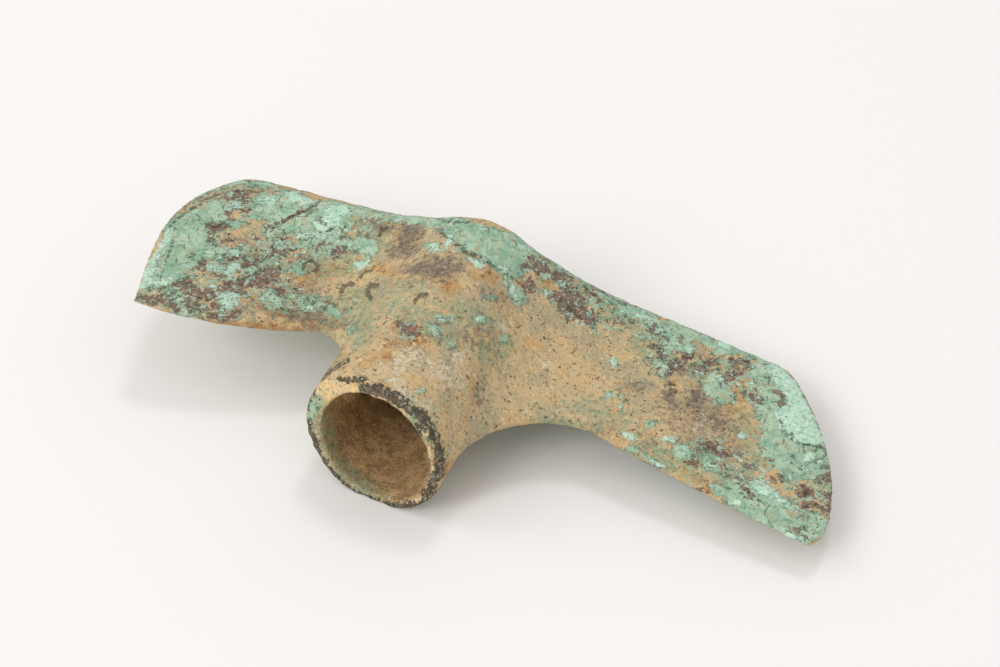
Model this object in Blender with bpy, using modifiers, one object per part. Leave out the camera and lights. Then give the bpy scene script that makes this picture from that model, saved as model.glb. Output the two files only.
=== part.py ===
"""Bronze Age axe head with two blades, cast in one piece around a blind haft socket.

Metres, +Z up. The head lies as it does loose on a table: on the belly of its socket, leaning a few
degrees towards its longer blade. The socket runs along Y with its mouth facing -Y, the short blade
reaches to -X and the long one to +X. The origin is under the middle of the head, on the table.
"""
import math
from dataclasses import dataclass

import bmesh
import bpy
from mathutils import Vector

MM = 0.001

# Socket: a round tube along the head's own Y axis, its mouth at zero, closed and rounded behind
SOCKET_RADIUS = 17.5 * MM
SOCKET_LENGTH = 67.3 * MM
SOCKET_END_ROUND = 8.0 * MM
MOUTH_TRIM = 0.6 * MM
MOUTH_SPARE = 5.0 * MM
MOUTH_SKEW = math.radians(8.0)
MOUTH_RAKE = math.radians(5.0)

# Bore: it narrows to a rounded bottom, and the core sat a little low and towards the long blade
BORE_RADIUS = 13.9 * MM
BORE_BOTTOM_RADIUS = 12.4 * MM
BORE_DEPTH = 52.0 * MM
BORE_BOTTOM_ROUND = 6.0 * MM
BORE_OFF_TO_LONG = 0.5 * MM
BORE_OFF_DOWN = 1.2 * MM

# Short blade, in its own plane: reach is across from the socket's axis, back is behind the mouth
SHORT_TIP_REACH = 68.0 * MM
SHORT_TIP_BACK = 16.9 * MM
SHORT_NEAR_BEND_REACH = 50.0 * MM
SHORT_NEAR_BEND_BACK = 15.9 * MM
SHORT_ROOT_BACK = 27.8 * MM
SHORT_CORNER_REACH = 62.0 * MM
SHORT_CORNER_BACK = 68.5 * MM
SHORT_FAR_BEND_REACH = 38.0 * MM
SHORT_FAR_BEND_BACK = 72.1 * MM
SHORT_EDGE_BULGE = 8.8 * MM
SHORT_EDGE_SKEW = 1.35
SHORT_EDGE_FULLNESS = 0.8
SHORT_FLARE = 8.0 * MM
SHORT_SHOULDER_NEAR = 8.0 * MM
SHORT_SHOULDER_FAR = 150.0 * MM

# Long blade, in the same terms
LONG_TIP_REACH = 97.5 * MM
LONG_TIP_BACK = 14.9 * MM
LONG_NEAR_BEND_REACH = 62.0 * MM
LONG_NEAR_BEND_BACK = 20.8 * MM
LONG_ROOT_BACK = 26.2 * MM
LONG_CORNER_REACH = 76.0 * MM
LONG_CORNER_BACK = 65.2 * MM
LONG_FAR_BEND_REACH = 40.0 * MM
LONG_FAR_BEND_BACK = 69.6 * MM
LONG_EDGE_BULGE = 7.2 * MM
LONG_EDGE_SKEW = 0.8
LONG_EDGE_FULLNESS = 0.7
LONG_FLARE = 24.0 * MM
LONG_SHOULDER_NEAR = 16.0 * MM
LONG_SHOULDER_FAR = 130.0 * MM

# Thickness of the blades: at the socket and at the cutting edge, on the rim and in the middle
RIM_THICKNESS_ROOT = 3.2 * MM
RIM_THICKNESS_EDGE = 1.2 * MM
CROWN_THICKNESS_ROOT = 5.4 * MM
CROWN_THICKNESS_EDGE = 2.0 * MM
THINNING = 1.4
RIM_BEVEL = 5
EDGE_BEVEL_SHARE = 0.06

# How it lies: leaning towards the long blade, on a flat rubbed along the socket's belly
LEAN = math.radians(5.3)
BELLY_FLAT_WIDTH = 12.0 * MM

# The cast skin: the grain it is smoothed on, and how many triangles it keeps
SKIN_GRAIN = 0.5 * MM
SKIN_PASSES = 9
SKIN_TRIANGLES = 8600

# How the loft meets the socket: it stays a little under the tube's skin, and starts inside it
HUMP_INSET = 0.3 * MM
HIDDEN_SHARE = 0.94
SHOULDER_GROWTH = 2
BULGE_REACH = 3

# Stations of the loft from the socket's axis to a cutting edge and from rim to rim, and turning steps
ROOT_STATIONS = 5
FLARE_STATIONS = 9
SWEEP_STATIONS = 22
CROSS_STATIONS = 25
TURN_STEPS = 72
ROUND_STEPS = 8


@dataclass
class Blade:
    """One blade's outline in the head's plane, and how it grows out of the socket."""
    side: int
    root_back: float
    near_bend: Vector
    tip: Vector
    corner: Vector
    far_bend: Vector
    bulge: float
    skew: float
    fullness: float
    flare: float
    shoulder_near: float
    shoulder_far: float


SHORT_BLADE = Blade(
    side=-1,
    root_back=SHORT_ROOT_BACK,
    near_bend=Vector((-SHORT_NEAR_BEND_REACH, SHORT_NEAR_BEND_BACK)),
    tip=Vector((-SHORT_TIP_REACH, SHORT_TIP_BACK)),
    corner=Vector((-SHORT_CORNER_REACH, SHORT_CORNER_BACK)),
    far_bend=Vector((-SHORT_FAR_BEND_REACH, SHORT_FAR_BEND_BACK)),
    bulge=SHORT_EDGE_BULGE,
    skew=SHORT_EDGE_SKEW,
    fullness=SHORT_EDGE_FULLNESS,
    flare=SHORT_FLARE,
    shoulder_near=SHORT_SHOULDER_NEAR,
    shoulder_far=SHORT_SHOULDER_FAR,
)

LONG_BLADE = Blade(
    side=1,
    root_back=LONG_ROOT_BACK,
    near_bend=Vector((LONG_NEAR_BEND_REACH, LONG_NEAR_BEND_BACK)),
    tip=Vector((LONG_TIP_REACH, LONG_TIP_BACK)),
    corner=Vector((LONG_CORNER_REACH, LONG_CORNER_BACK)),
    far_bend=Vector((LONG_FAR_BEND_REACH, LONG_FAR_BEND_BACK)),
    bulge=LONG_EDGE_BULGE,
    skew=LONG_EDGE_SKEW,
    fullness=LONG_EDGE_FULLNESS,
    flare=LONG_FLARE,
    shoulder_near=LONG_SHOULDER_NEAR,
    shoulder_far=LONG_SHOULDER_FAR,
)


def clear_scene():
    """Start from an empty scene."""
    for obj in list(bpy.data.objects):
        bpy.data.objects.remove(obj, do_unlink=True)


def new_collection(name):
    """A collection in the scene, for the part or for its cutters."""
    collection = bpy.data.collections.new(name)
    bpy.context.scene.collection.children.link(collection)
    return collection


def new_object(name, mesh, collection):
    """An object that carries a mesh, in its collection."""
    obj = bpy.data.objects.new(name, mesh)
    collection.objects.link(obj)
    return obj


def patinated_bronze():
    """Cast bronze under green and earth-brown corrosion."""
    material = bpy.data.materials.new("patinated_bronze")
    material.use_nodes = True
    shader = material.node_tree.nodes["Principled BSDF"]
    shader.inputs["Base Color"].default_value = (0.30, 0.27, 0.17, 1.0)
    shader.inputs["Metallic"].default_value = 0.15
    shader.inputs["Roughness"].default_value = 0.8
    return material


def arc(centre_radius, centre_back, radius, start, end, steps):
    """Points of a circular arc in a turned profile, as (radius, back) pairs."""
    points = []
    for step in range(steps + 1):
        angle = start + (end - start) * step / steps
        points.append((centre_radius + radius * math.cos(angle), centre_back + radius * math.sin(angle)))
    return points


def turned(name, profile, collection):
    """A solid turned about the socket's axis, from a profile that runs from its back to its front."""
    mesh = bpy.data.meshes.new(name)
    vertices = [(radius, 0.0, back) for radius, back in profile]
    edges = [(index, index + 1) for index in range(len(vertices) - 1)]
    mesh.from_pydata(vertices, edges, [])
    obj = new_object(name, mesh, collection)
    obj.rotation_euler = (-math.pi / 2, 0.0, 0.0)
    screw = obj.modifiers.new("turn", "SCREW")
    screw.steps = TURN_STEPS
    screw.render_steps = TURN_STEPS
    screw.use_merge_vertices = True
    screw.merge_threshold = 0.00001
    return obj


def socket_profile():
    """Outside of the socket: closed back with a round edge, then straight past the mouth."""
    profile = [(0.0, SOCKET_LENGTH)]
    profile += arc(SOCKET_RADIUS - SOCKET_END_ROUND, SOCKET_LENGTH - SOCKET_END_ROUND,
                   SOCKET_END_ROUND, math.pi / 2, 0.0, ROUND_STEPS)
    profile.append((SOCKET_RADIUS, -MOUTH_SPARE))
    profile.append((0.0, -MOUTH_SPARE))
    return profile


def bore_profile():
    """The hollow for the haft: rounded bottom, and a slight taper that opens to the mouth."""
    profile = [(0.0, BORE_DEPTH)]
    profile += arc(BORE_BOTTOM_RADIUS - BORE_BOTTOM_ROUND, BORE_DEPTH - BORE_BOTTOM_ROUND,
                   BORE_BOTTOM_ROUND, math.pi / 2, 0.0, ROUND_STEPS)
    profile.append((BORE_RADIUS, 0.0))
    profile.append((BORE_RADIUS, -2 * MOUTH_SPARE))
    profile.append((0.0, -2 * MOUTH_SPARE))
    return profile


def bend(start, middle, end, share):
    """A point on the parabola from start to end that bends towards middle."""
    return start.lerp(middle, share).lerp(middle.lerp(end, share), share)


def near_edge(blade):
    """The edge on the mouth's side: hidden in the socket, then the flare, then the sweep to the tip."""
    start_back = LONG_ROOT_BACK - LONG_FLARE
    leave = Vector((SOCKET_RADIUS, blade.root_back - blade.flare))
    hidden = Vector((0.0, start_back)).lerp(leave, HIDDEN_SHARE)
    points = []
    for step in range(ROOT_STATIONS):
        points.append(Vector((0.0, start_back)).lerp(hidden, step / ROOT_STATIONS))
    for step in range(FLARE_STATIONS):
        angle = math.pi / 2 * step / FLARE_STATIONS
        points.append(leave + blade.flare * Vector((1.0 - math.cos(angle), math.sin(angle))))
    root = leave + Vector((blade.flare, blade.flare))
    near_bend = Vector((abs(blade.near_bend.x), blade.near_bend.y))
    tip = Vector((abs(blade.tip.x), blade.tip.y))
    for step in range(SWEEP_STATIONS + 1):
        points.append(bend(root, near_bend, tip, step / SWEEP_STATIONS))
    return [Vector((blade.side * point.x, point.y)) for point in points]


def far_edge(blade, near_points):
    """The edge away from the mouth, with a point abreast of each point of the near edge."""
    start = Vector((0.0, SOCKET_LENGTH - HUMP_INSET))
    return [bend(start, blade.far_bend, blade.corner, point.x / blade.tip.x) for point in near_points]


def outline_point(blade, near_point, far_point, cross):
    """A place in the blade's plane, cross running from the near edge at 0 to the far edge at 1."""
    outward = (blade.corner - blade.tip).orthogonal().normalized()
    if outward.x * blade.side < 0:
        outward.negate()
    swell = max(0.0, math.sin(math.pi * cross ** blade.skew)) ** blade.fullness
    share = (near_point.x / blade.tip.x) ** BULGE_REACH
    return near_point.lerp(far_point, cross) + outward * blade.bulge * swell * share


def plate_half_thickness(reach_share, cross):
    """Half the plate's thickness: it thins towards the cutting edge and towards both rims."""
    thinning = reach_share ** THINNING
    rim = RIM_THICKNESS_ROOT + (RIM_THICKNESS_EDGE - RIM_THICKNESS_ROOT) * thinning
    crown = CROWN_THICKNESS_ROOT + (CROWN_THICKNESS_EDGE - CROWN_THICKNESS_ROOT) * thinning
    body = 1.0 - abs(2.0 * cross - 1.0) ** RIM_BEVEL
    edge_bevel = min(1.0, (1.0 - reach_share) / EDGE_BEVEL_SHARE)
    return 0.5 * (rim + (crown - rim) * body * edge_bevel)


def socket_radius_at(back):
    """The socket's outer radius at a distance behind its mouth."""
    into_round = back - (SOCKET_LENGTH - SOCKET_END_ROUND)
    if into_round <= 0:
        return SOCKET_RADIUS
    into_round = min(into_round, SOCKET_END_ROUND)
    return SOCKET_RADIUS - SOCKET_END_ROUND + math.sqrt(SOCKET_END_ROUND ** 2 - into_round ** 2)


def shoulder_at(blade, back, radius, plate):
    """The fillet between socket and plate at a distance behind the mouth: it fits in the flare."""
    start_back = blade.root_back - blade.flare
    if back <= start_back:
        return 0.0
    if back >= blade.root_back:
        share = min(1.0, (back - blade.root_back) / (SOCKET_LENGTH - blade.root_back))
        return blade.shoulder_near + (blade.shoulder_far - blade.shoulder_near) * share ** SHOULDER_GROWTH
    width = SOCKET_RADIUS + blade.flare - math.sqrt(blade.flare ** 2 - (back - start_back) ** 2)
    room = (width ** 2 - radius ** 2 + plate ** 2) / (2 * (radius - plate))
    return max(0.0, min(blade.shoulder_near, room))


def half_height(blade, place, plate):
    """Half the head's height at a place: the socket's round, the fillet beside it, then the plate."""
    radius = socket_radius_at(place.y) - HUMP_INSET
    fillet = shoulder_at(blade, place.y, radius, plate)
    across = abs(place.x)
    foot = math.sqrt((radius + fillet) ** 2 - (plate + fillet) ** 2)
    touch = foot * radius / (radius + fillet)
    if across <= touch:
        return math.sqrt(radius ** 2 - across ** 2)
    if across < foot:
        return plate + fillet - math.sqrt(fillet ** 2 - (foot - across) ** 2)
    return plate


def web_stations():
    """The head's plan as rows of (place, half height), from the short blade's edge to the long one's."""
    rows = []
    for blade in (SHORT_BLADE, LONG_BLADE):
        near_points = near_edge(blade)
        far_points = far_edge(blade, near_points)
        blade_rows = []
        for near_point, far_point in zip(near_points, far_points):
            row = []
            for step in range(CROSS_STATIONS):
                cross = step / (CROSS_STATIONS - 1)
                place = outline_point(blade, near_point, far_point, cross)
                plate = plate_half_thickness(near_point.x / blade.tip.x, cross)
                row.append((place, half_height(blade, place, plate)))
            blade_rows.append(row)
        if blade is SHORT_BLADE:
            rows += blade_rows[::-1]
        else:
            rows += blade_rows[1:]
    return rows


def blades_and_hump(collection):
    """Both blades and the hump that carries the socket: a loft across the head, upper and lower face."""
    rows = web_stations()
    shape = bmesh.new()
    upper = [[shape.verts.new((place.x, place.y, height)) for place, height in row] for row in rows]
    lower = [[shape.verts.new((place.x, place.y, -height)) for place, height in row] for row in rows]
    last_row = len(rows) - 1
    last_cross = CROSS_STATIONS - 1
    for row in range(last_row):
        for cross in range(last_cross):
            ring = ((row, cross), (row + 1, cross), (row + 1, cross + 1), (row, cross + 1))
            shape.faces.new([upper[i][j] for i, j in ring])
            shape.faces.new([lower[i][j] for i, j in reversed(ring)])
    border = [(row, 0) for row in range(last_row)]
    border += [(last_row, cross) for cross in range(last_cross)]
    border += [(row, last_cross) for row in range(last_row, 0, -1)]
    border += [(0, cross) for cross in range(last_cross, 0, -1)]
    for here, after in zip(border, border[1:] + border[:1]):
        shape.faces.new([lower[here[0]][here[1]], lower[after[0]][after[1]],
                         upper[after[0]][after[1]], upper[here[0]][here[1]]])
    bmesh.ops.recalc_face_normals(shape, faces=shape.faces)
    mesh = bpy.data.meshes.new("axe_head")
    shape.to_mesh(mesh)
    shape.free()
    return new_object("axe_head", mesh, collection)


def block(name, low, high, collection):
    """A box-shaped cutter from its lowest to its highest corner."""
    low = Vector(low)
    high = Vector(high)
    shape = bmesh.new()
    bmesh.ops.create_cube(shape, size=1.0)
    for vertex in shape.verts:
        vertex.co = Vector([(low[i] + high[i]) / 2 + vertex.co[i] * (high[i] - low[i]) for i in range(3)])
    mesh = bpy.data.meshes.new(name)
    shape.to_mesh(mesh)
    shape.free()
    return new_object(name, mesh, collection)


def combine(obj, other, operation):
    """Join or cut with another object, which is then a guide and not a part."""
    boolean = obj.modifiers.new(other.name, "BOOLEAN")
    boolean.operation = operation
    boolean.solver = "EXACT"
    boolean.object = other
    other.hide_render = True
    other.display_type = "WIRE"


def evaluated_mesh(obj):
    """A copy of the object's mesh as its modifiers leave it."""
    depsgraph = bpy.context.evaluated_depsgraph_get()
    return bpy.data.meshes.new_from_object(obj.evaluated_get(depsgraph))


def cast_skin(obj):
    """Run the joined shapes together as cast metal does, then thin the faces where it is smooth."""
    remesh = obj.modifiers.new("skin", "REMESH")
    remesh.mode = "VOXEL"
    remesh.voxel_size = SKIN_GRAIN
    smooth = obj.modifiers.new("soften", "SMOOTH")
    smooth.factor = 0.5
    smooth.iterations = SKIN_PASSES
    fine = evaluated_mesh(obj)
    fine.calc_loop_triangles()
    decimate = obj.modifiers.new("thin_out", "DECIMATE")
    decimate.ratio = min(1.0, SKIN_TRIANGLES / len(fine.loop_triangles))
    bpy.data.meshes.remove(fine)


def centre_on_origin(head, stand):
    """Slide the head along the table until its middle is over the origin."""
    mesh = evaluated_mesh(head)
    corners = [head.matrix_world @ vertex.co for vertex in mesh.vertices]
    bpy.data.meshes.remove(mesh)
    for axis in (0, 1):
        values = [corner[axis] for corner in corners]
        stand.location[axis] -= (min(values) + max(values)) / 2


def build():
    clear_scene()
    part = new_collection("bronze_age_axe_head")
    cutters = new_collection("cutters")

    stand = bpy.data.objects.new("lie_of_the_head", None)
    part.objects.link(stand)
    stand.rotation_euler = (0.0, LEAN, 0.0)
    stand.location = (0.0, 0.0, math.sqrt(SOCKET_RADIUS ** 2 - (BELLY_FLAT_WIDTH / 2) ** 2))

    head = blades_and_hump(part)
    socket = turned("socket", socket_profile(), cutters)
    bore = turned("bore", bore_profile(), cutters)
    bore.location = (BORE_OFF_TO_LONG, 0.0, -BORE_OFF_DOWN)
    reach = 2 * SOCKET_RADIUS
    mouth_cut = block("mouth_cut", (-reach, -reach, -reach), (reach, 0.0, reach), cutters)
    mouth_cut.location = (0.0, MOUTH_TRIM, 0.0)
    mouth_cut.rotation_euler = (-MOUTH_RAKE, 0.0, -MOUTH_SKEW)
    for obj in (head, socket, bore, mouth_cut):
        obj.parent = stand
    whole = LONG_TIP_REACH + SHORT_TIP_REACH + SOCKET_LENGTH
    belly_cut = block("belly_cut", (-whole, -whole, -SOCKET_RADIUS), (whole, whole, 0.0), cutters)

    combine(head, socket, "UNION")
    cast_skin(head)
    combine(head, bore, "DIFFERENCE")
    combine(head, mouth_cut, "DIFFERENCE")
    combine(head, belly_cut, "DIFFERENCE")
    head.data.materials.append(patinated_bronze())
    bpy.context.view_layer.update()
    centre_on_origin(head, stand)
    bpy.context.view_layer.update()


build()
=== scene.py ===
"""A cast bronze axe head, two blades and a round haft socket, dug up and patinated, on a white table.

Lengths are in metres, and places in the view are in pixels from its upper left corner.
"""
import math

import bmesh
import bpy
import numpy as np
from mathutils import Matrix, Vector, noise
from mathutils.bvhtree import BVHTree


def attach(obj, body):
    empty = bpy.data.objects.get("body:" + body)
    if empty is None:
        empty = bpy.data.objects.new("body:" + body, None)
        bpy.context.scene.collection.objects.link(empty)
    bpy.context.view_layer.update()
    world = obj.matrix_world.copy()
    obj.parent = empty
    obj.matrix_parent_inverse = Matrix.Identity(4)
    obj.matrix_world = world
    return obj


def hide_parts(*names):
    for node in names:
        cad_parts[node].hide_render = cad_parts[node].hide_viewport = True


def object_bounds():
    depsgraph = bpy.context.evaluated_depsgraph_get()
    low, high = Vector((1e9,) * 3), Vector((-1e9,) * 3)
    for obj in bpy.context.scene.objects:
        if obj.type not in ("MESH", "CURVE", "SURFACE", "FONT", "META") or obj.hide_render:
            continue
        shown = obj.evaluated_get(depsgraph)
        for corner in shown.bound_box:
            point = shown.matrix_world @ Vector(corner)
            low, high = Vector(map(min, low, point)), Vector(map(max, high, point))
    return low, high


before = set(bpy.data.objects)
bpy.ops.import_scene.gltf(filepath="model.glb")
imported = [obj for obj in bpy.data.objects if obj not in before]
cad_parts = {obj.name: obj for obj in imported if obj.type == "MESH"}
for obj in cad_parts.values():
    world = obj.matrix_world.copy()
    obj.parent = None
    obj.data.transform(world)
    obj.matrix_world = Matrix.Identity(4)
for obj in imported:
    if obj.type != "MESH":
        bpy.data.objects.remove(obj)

cad_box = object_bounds()

# The view
# The head lies on a white table and is seen from in front and above, a little to its right, through a
# long lens. The view was recovered from the ellipse of the socket's mouth and the outline of the blades.
MOUTH_CENTRE = Vector((-0.012912, -0.033837, 0.016439))
MOUTH_PIXEL = (372.0, 445.0)
MIDDLE_PIXEL = (500.0, 333.5)
PIXEL_AT_MOUTH = 0.2209e-3
FOCAL_LENGTH_PIXELS = 2780.0
VIEW_AZIMUTH = math.radians(22.0)
VIEW_ELEVATION = math.radians(42.0)
SENSOR_WIDTH = 36.0

view_right = Vector((math.cos(VIEW_AZIMUTH), math.sin(VIEW_AZIMUTH), 0.0))
view_back = Vector((math.sin(VIEW_AZIMUTH) * math.cos(VIEW_ELEVATION),
                    -math.cos(VIEW_AZIMUTH) * math.cos(VIEW_ELEVATION),
                    math.sin(VIEW_ELEVATION)))
view_up = view_back.cross(view_right)
eye = MOUTH_CENTRE + view_back * FOCAL_LENGTH_PIXELS * PIXEL_AT_MOUTH
eye -= view_right * (MOUTH_PIXEL[0] - MIDDLE_PIXEL[0]) * PIXEL_AT_MOUTH
eye -= view_up * (MIDDLE_PIXEL[1] - MOUTH_PIXEL[1]) * PIXEL_AT_MOUTH

camera_data = bpy.data.cameras.new("view")
camera_data.sensor_width = SENSOR_WIDTH
camera_data.lens = FOCAL_LENGTH_PIXELS / (2 * MIDDLE_PIXEL[0]) * SENSOR_WIDTH
camera_data.clip_start = 0.05
camera_data.clip_end = 20.0
camera = bpy.data.objects.new("view", camera_data)
bpy.context.scene.collection.objects.link(camera)
camera.matrix_world = Matrix((
    (view_right.x, view_up.x, view_back.x, eye.x),
    (view_right.y, view_up.y, view_back.y, eye.y),
    (view_right.z, view_up.z, view_back.z, eye.z),
    (0.0, 0.0, 0.0, 1.0)))
bpy.context.scene.camera = camera


def pixels_of(points):
    """Where points of the head fall in the view, in pixels from its upper left corner."""
    from_eye = points - np.array(eye)
    depth = -(from_eye @ np.array(view_back))
    across = FOCAL_LENGTH_PIXELS * (from_eye @ np.array(view_right)) / depth
    down = -FOCAL_LENGTH_PIXELS * (from_eye @ np.array(view_up)) / depth
    return np.stack([MIDDLE_PIXEL[0] + across, MIDDLE_PIXEL[1] + down], 1)


# The casting
# One piece of tin bronze, cast in a two-part mould with a core for the socket. The skin starts from the
# solid's own shape, laid in fine even steps, with its facets smoothed away without shrinking it.
SKIN_STEP = 0.00057
SMOOTHING_ROUNDS = 36
SMOOTHING_OUT = 0.6
SMOOTHING_BACK = -0.625

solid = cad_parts["axe_head"]
shape = solid.data.copy()
joined = bmesh.new()
joined.from_mesh(shape)
bmesh.ops.remove_doubles(joined, verts=joined.verts, dist=1e-6)
joined.to_mesh(shape)
joined.free()
rough_head = bpy.data.objects.new("rough_head", shape)
bpy.context.scene.collection.objects.link(rough_head)
even_steps = rough_head.modifiers.new("even steps", "REMESH")
even_steps.mode = "VOXEL"
even_steps.voxel_size = SKIN_STEP
even_steps.adaptivity = 0.0
bpy.context.view_layer.update()
seen_shape = rough_head.evaluated_get(bpy.context.evaluated_depsgraph_get())
skin = bpy.data.meshes.new_from_object(seen_shape)
skin.name = "casting"
bpy.data.objects.remove(rough_head)


def corners_of(mesh):
    flat = np.empty(len(mesh.vertices) * 3)
    mesh.vertices.foreach_get("co", flat)
    return flat.reshape(-1, 3)


def set_corners(mesh, points):
    mesh.vertices.foreach_set("co", np.ascontiguousarray(points, np.float32).ravel())
    mesh.update()


def outward_of(mesh):
    flat = np.empty(len(mesh.vertices) * 3, np.float32)
    mesh.vertex_normals.foreach_get("vector", flat)
    return flat.reshape(-1, 3).astype(float)


edge_ends = np.empty(len(skin.edges) * 2, np.int32)
skin.edges.foreach_get("vertices", edge_ends)
edge_ends = edge_ends.reshape(-1, 2)
neighbours = np.bincount(edge_ends.ravel(), minlength=len(skin.vertices)).clip(1)


def neighbour_mean(values):
    """The mean of each corner's neighbours, for one column of values or several."""
    columns = values.reshape(len(values), -1)
    mean = np.empty_like(columns)
    for i in range(columns.shape[1]):
        total = np.bincount(edge_ends[:, 0], columns[edge_ends[:, 1], i], len(columns))
        total += np.bincount(edge_ends[:, 1], columns[edge_ends[:, 0], i], len(columns))
        mean[:, i] = total / neighbours
    return mean.reshape(values.shape)


points = corners_of(skin)
for _ in range(SMOOTHING_ROUNDS):
    points += SMOOTHING_OUT * (neighbour_mean(points) - points)
    points += SMOOTHING_BACK * (neighbour_mean(points) - points)
set_corners(skin, points)
outward = outward_of(skin)
print("casting:", len(skin.vertices), "corners,", len(skin.polygons), "faces")

# What the view sees
# Each mark of the patina, and the few marks of painted light and shade among them, is laid on the skin at
# the pixel where it shows. Only the skin that faces the eye, with nothing before it, takes a mark; the
# rest is finished in keeping by noise alone.
GRAZING = -0.1
LIFT_OUTWARD = 0.0004
LIFT_TO_EYE = 0.0006
CLOSING_ROUNDS = 3
CLOSING_SHARE = 0.2
SOFTENING_ROUNDS = 4

towards_eye = np.array(eye) - points
towards_eye /= np.linalg.norm(towards_eye, axis=1)[:, None]
facing = (outward * towards_eye).sum(1)
tree = BVHTree.FromPolygons([tuple(p) for p in points], [tuple(f.vertices) for f in skin.polygons])
open_to_eye = np.zeros(len(points))
for i in np.nonzero(facing > GRAZING)[0]:
    start = Vector(points[i] + outward[i] * LIFT_OUTWARD + towards_eye[i] * LIFT_TO_EYE)
    if tree.ray_cast(start, Vector(towards_eye[i]))[0] is None:
        open_to_eye[i] = 1.0
for _ in range(CLOSING_ROUNDS):
    open_to_eye = np.maximum(open_to_eye, neighbour_mean(open_to_eye) > CLOSING_SHARE).astype(float)
for _ in range(SOFTENING_ROUNDS):
    open_to_eye = 0.5 * open_to_eye + 0.5 * neighbour_mean(open_to_eye)


def noise_on(points, size, seed, octaves=1):
    """Smooth noise between about -1 and 1, with lumps of the given size, at each point."""
    shift = Vector((seed * 17.3, seed * 5.1, seed * 9.7))
    where = points / size
    if octaves == 1:
        return np.array([noise.noise(Vector(p) + shift) for p in where])
    return np.array([noise.fractal(Vector(p) + shift, 0.9, 2.1, octaves) for p in where])


# Pixels wander a little before a mark is laid, so that no mark has a drawn outline.
WANDER_WIDE = 2.4
WANDER_FINE = 1.1
WIDE_LUMPS = 0.003
FINE_LUMPS = 0.0011
LINE_WANDER = 0.3


def strayed(seed):
    """How far each point of the skin strays one way in the view, in pixels."""
    wide = WANDER_WIDE * noise_on(points, WIDE_LUMPS, seed)
    return wide + WANDER_FINE * noise_on(points, FINE_LUMPS, seed + 1)


wander = np.stack([strayed(1), strayed(3)], 1)
seen_at = pixels_of(points)
marks_at = seen_at + wander


def spot(x, y, half_length, half_width=None, turn=0.0):
    """Depth inside an oval mark, in pixels, less than 0 outside it."""
    half_width = half_width or half_length
    a = math.radians(turn)
    along = (marks_at[:, 0] - x) * math.cos(a) + (marks_at[:, 1] - y) * math.sin(a)
    across = (marks_at[:, 1] - y) * math.cos(a) - (marks_at[:, 0] - x) * math.sin(a)
    reach = np.hypot(along / half_length, across / half_width)
    return (1 - reach) * min(half_length, half_width)


def distance_to_line(line, closed=False):
    nearest = np.full(len(marks_at), 1e9)
    ends = list(zip(line, line[1:] + line[:1] if closed else line[1:]))
    for (ax, ay), (bx, by) in ends:
        step = np.array([bx - ax, by - ay], float)
        rel = marks_at - (ax, ay)
        t = (rel @ step / max(step @ step, 1e-9)).clip(0, 1)
        nearest = np.minimum(nearest, np.linalg.norm(rel - t[:, None] * step, axis=1))
    return nearest


def streak(half_width, *line):
    """Depth inside a drawn-out mark that follows a line."""
    return half_width - distance_to_line(list(line))


def field(*corners):
    """Depth inside a mark with a free outline."""
    corners = list(corners)
    inside = np.zeros(len(marks_at), bool)
    x, y = marks_at[:, 0], marks_at[:, 1]
    for (ax, ay), (bx, by) in zip(corners, corners[1:] + corners[:1]):
        if ay != by:
            crosses = (ay > y) != (by > y)
            inside ^= crosses & (x < (bx - ax) * (y - ay) / (by - ay) + ax)
    edge = distance_to_line(corners, closed=True)
    return np.where(inside, edge, -edge)


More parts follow.
